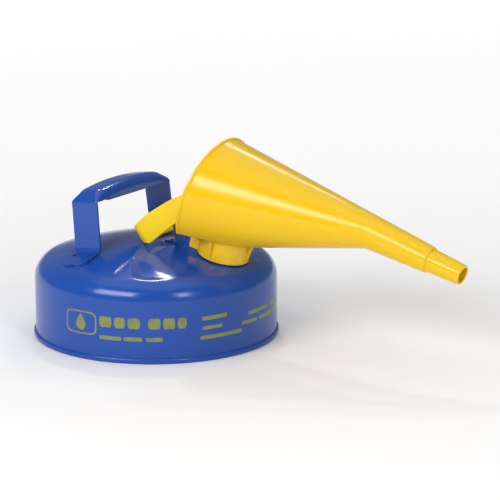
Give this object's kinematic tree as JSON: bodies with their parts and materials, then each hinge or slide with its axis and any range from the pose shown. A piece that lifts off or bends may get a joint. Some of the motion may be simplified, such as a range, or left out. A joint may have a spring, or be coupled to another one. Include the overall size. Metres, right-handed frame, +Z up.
{
  "type": "safety gas can",
  "caption": "Low round steel fuel can with a strap handle, spring-closed spout lid worked by a squeeze loop, and a long pouring funnel.",
  "frame": {"origin": "centre of the base, on the surface the can stands on", "axes": "+Z up, +X towards the pouring end (spout and funnel), +Y to the left seen from behind the can"},
  "size_m": [0.3976, 0.21, 0.1747],
  "materials": {
    "blue_paint": "gloss powder coat, deep blue",
    "plain_steel": "zinc plated",
    "screen_steel": "fine perforated sheet",
    "spring_steel": "drawn wire",
    "gasket_rubber": "matt black",
    "trigger_plastic": "satin moulded, warm yellow",
    "funnel_plastic": "semi-gloss moulded polyethylene, yellow, scuffed"
  },
  "bodies": {
    "can": {"can_body": "blue_paint", "can_bottom": "blue_paint", "bottom_seam": "blue_paint", "handle": "blue_paint", "handle_welds": "blue_paint", "spout_neck": "blue_paint", "neck_flange": "plain_steel", "flame_screen": "screen_steel", "screen_ring": "plain_steel", "screen_cap": "screen_steel", "hinge_bracket": "blue_paint", "bracket_welds": "blue_paint", "lid_pin": "plain_steel", "lid_pin_clips": "plain_steel", "lid_spring": "spring_steel", "trigger_pin": "plain_steel"},
    "lid": {"lid_cap": "plain_steel", "lid_gasket": "gasket_rubber", "gasket_retainer": "plain_steel", "lid_rivet": "plain_steel", "lid_arm": "plain_steel"},
    "trigger": {"trigger_yoke": "trigger_plastic"},
    "funnel": {"funnel_cone": "funnel_plastic", "funnel_base": "funnel_plastic"}
  },
  "joints": [
    {"name": "trigger_squeeze", "type": "hinge", "parent": "can", "child": "trigger", "pos_m": [0.029, 0, 0.1045], "axis": [0, 1, 0], "range_deg": [0, 22], "stiffness_Nm_per_rad": 0.35, "springref_deg": -28.65},
    {"name": "lid_open", "type": "hinge", "parent": "can", "child": "lid", "pos_m": [0.0482, 0, 0.1064], "axis": [0, -1, 0], "range_deg": [0, 45], "stiffness_Nm_per_rad": 0.25, "springref_deg": -34.38},
    {"name": "funnel_swivel", "type": "hinge", "parent": "can", "child": "funnel", "pos_m": [0.0677, 0, 0.07447], "axis": [0.2351, 0, 0.972], "range_deg": [-6, 6]}
  ],
  "couplings": [
    {"joint": "lid_open", "follows": "trigger_squeeze", "ratio": 2}
  ]
}
